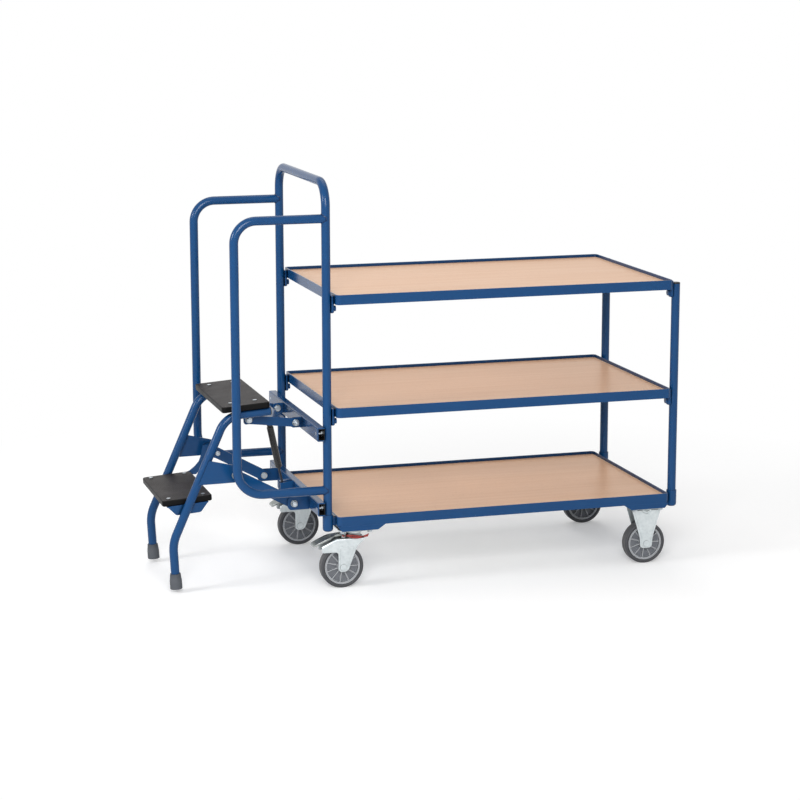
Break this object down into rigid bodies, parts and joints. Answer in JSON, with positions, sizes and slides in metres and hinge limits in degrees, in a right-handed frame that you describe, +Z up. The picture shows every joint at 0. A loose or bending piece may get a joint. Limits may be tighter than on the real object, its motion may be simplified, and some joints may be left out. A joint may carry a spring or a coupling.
{
  "type": "order picking trolley",
  "caption": "Order picking trolley with rimmed timber shelves on tube posts, a push bar, handrails and a sprung two-tread step unit at one end, on swivel and fixed casters.",
  "frame": {"origin": "on the floor, under the middle of the whole trolley", "axes": "+X from the step unit to the far end of the shelves, +Y to the rear long side, +Z up"},
  "size_m": [1.5208, 0.61, 1.1725],
  "materials": {
    "blue_paint": "glossy powder coat",
    "beech_board": "beech-effect melamine, satin",
    "black_plastic": "moulded",
    "zinc_bolt": "bright zinc",
    "zinc_sheet": "zinc-plated pressed sheet",
    "red_plastic": "moulded",
    "grey_rim": "moulded nylon",
    "grey_tyre": "solid rubber tread",
    "black_steel": "black lacquer",
    "step_board": "film-faced plywood with non-slip surface",
    "foot_rubber": "moulded"
  },
  "bodies": {
    "frame": {"handle_frame": "blue_paint", "front_right_post": "blue_paint", "rear_right_post": "blue_paint", "post_sleeves": "blue_paint", "base_shelf_frame": "blue_paint", "middle_shelf_frame": "blue_paint", "top_shelf_frame": "blue_paint", "middle_shelf_brackets": "blue_paint", "top_shelf_brackets": "blue_paint", "front_handrail": "blue_paint", "rear_handrail": "blue_paint", "left_caster_channel": "blue_paint", "right_caster_channel": "blue_paint", "upper_cross_channel": "blue_paint", "lower_cross_channel": "blue_paint", "upper_link_ears": "blue_paint", "lower_link_ears": "blue_paint", "gas_spring_bracket": "blue_paint", "base_shelf_board": "beech_board", "middle_shelf_board": "beech_board", "top_shelf_board": "beech_board", "post_caps": "black_plastic", "shelf_bolts": "zinc_bolt", "cross_channel_bolts": "zinc_bolt", "caster_bolts": "zinc_bolt", "front_fixed_fork": "zinc_sheet", "rear_fixed_fork": "zinc_sheet", "swivel_plates": "zinc_sheet", "fixed_axles": "zinc_sheet", "gas_spring_rod": "black_steel"},
    "upper_link": {"upper_link_yoke": "blue_paint", "upper_link_bolts": "zinc_bolt"},
    "lower_link": {"lower_links": "blue_paint", "lower_link_bolts": "zinc_bolt"},
    "step_unit": {"front_step_leg": "blue_paint", "rear_step_leg": "blue_paint", "step_feet": "foot_rubber", "upper_step": "step_board", "lower_step": "step_board", "step_screws": "zinc_bolt", "upper_step_tray": "blue_paint", "lower_step_tray": "blue_paint", "step_side_plates": "blue_paint"},
    "gas_cylinder": {"gas_spring_cylinder": "black_steel"},
    "front_swivel": {"front_swivel_fork": "zinc_sheet", "front_swivel_axle": "zinc_sheet"},
    "front_swivel_wheel": {"front_swivel_rim": "grey_rim", "front_swivel_tyre": "grey_tyre"},
    "front_brake": {"front_brake_pedal": "zinc_sheet", "front_brake_release": "red_plastic"},
    "front_fixed_wheel": {"front_fixed_rim": "grey_rim", "front_fixed_tyre": "grey_tyre"},
    "rear_swivel": {"rear_swivel_fork": "zinc_sheet", "rear_swivel_axle": "zinc_sheet"},
    "rear_swivel_wheel": {"rear_swivel_rim": "grey_rim", "rear_swivel_tyre": "grey_tyre"},
    "rear_brake": {"rear_brake_pedal": "zinc_sheet", "rear_brake_release": "red_plastic"},
    "rear_fixed_wheel": {"rear_fixed_rim": "grey_rim", "rear_fixed_tyre": "grey_tyre"}
  },
  "joints": [
    {"name": "step_lift", "type": "hinge", "parent": "frame", "child": "upper_link", "pos_m": [-0.35984, 0, 0.458], "axis": [0, -1, 0], "range_deg": [0, 12], "stiffness_Nm_per_rad": 20, "springref_deg": -51.57},
    {"name": "step_unit_pivot", "type": "hinge", "parent": "upper_link", "child": "step_unit", "pos_m": [-0.49783, 0, 0.4747], "axis": [0, -1, 0], "range_deg": [-16.6, 0]},
    {"name": "lower_link_pivot", "type": "hinge", "parent": "frame", "child": "lower_link", "pos_m": [-0.38584, 0, 0.2386], "axis": [0, -1, 0], "range_deg": [0, 8]},
    {"name": "gas_spring_stroke", "type": "slide", "parent": "frame", "child": "gas_cylinder", "axis": [-0.2011, 0, 0.9796], "range_m": [-0.0116, 0]},
    {"name": "front_caster_swivel", "type": "hinge", "parent": "frame", "child": "front_swivel", "pos_m": [-0.22824, -0.253, 0.16], "axis": [0, 0, 1], "continuous": true},
    {"name": "front_swivel_wheel_spin", "type": "hinge", "parent": "front_swivel", "child": "front_swivel_wheel", "pos_m": [-0.26424, -0.253, 0.0625], "axis": [0, 1, 0], "continuous": true},
    {"name": "front_brake_pedal_pivot", "type": "hinge", "parent": "front_swivel", "child": "front_brake", "pos_m": [-0.26124, -0.253, 0.157], "axis": [0, -1, 0], "range_deg": [0, 5]},
    {"name": "front_fixed_wheel_spin", "type": "hinge", "parent": "frame", "child": "front_fixed_wheel", "pos_m": [0.66576, -0.253, 0.0625], "axis": [0, 1, 0], "continuous": true},
    {"name": "rear_caster_swivel", "type": "hinge", "parent": "frame", "child": "rear_swivel", "pos_m": [-0.22824, 0.253, 0.16], "axis": [0, 0, 1], "continuous": true},
    {"name": "rear_swivel_wheel_spin", "type": "hinge", "parent": "rear_swivel", "child": "rear_swivel_wheel", "pos_m": [-0.26424, 0.253, 0.0625], "axis": [0, 1, 0], "continuous": true},
    {"name": "rear_brake_pedal_pivot", "type": "hinge", "parent": "rear_swivel", "child": "rear_brake", "pos_m": [-0.26124, 0.253, 0.157], "axis": [0, -1, 0], "range_deg": [0, 5]},
    {"name": "rear_fixed_wheel_spin", "type": "hinge", "parent": "frame", "child": "rear_fixed_wheel", "pos_m": [0.66576, 0.253, 0.0625], "axis": [0, 1, 0], "continuous": true}
  ],
  "couplings": [
    {"joint": "step_unit_pivot", "follows": "step_lift", "ratio": -1.3663},
    {"joint": "lower_link_pivot", "follows": "step_lift", "ratio": 0.6517},
    {"joint": "gas_spring_stroke", "follows": "step_lift", "m_per_rad": -0.05454}
  ]
}
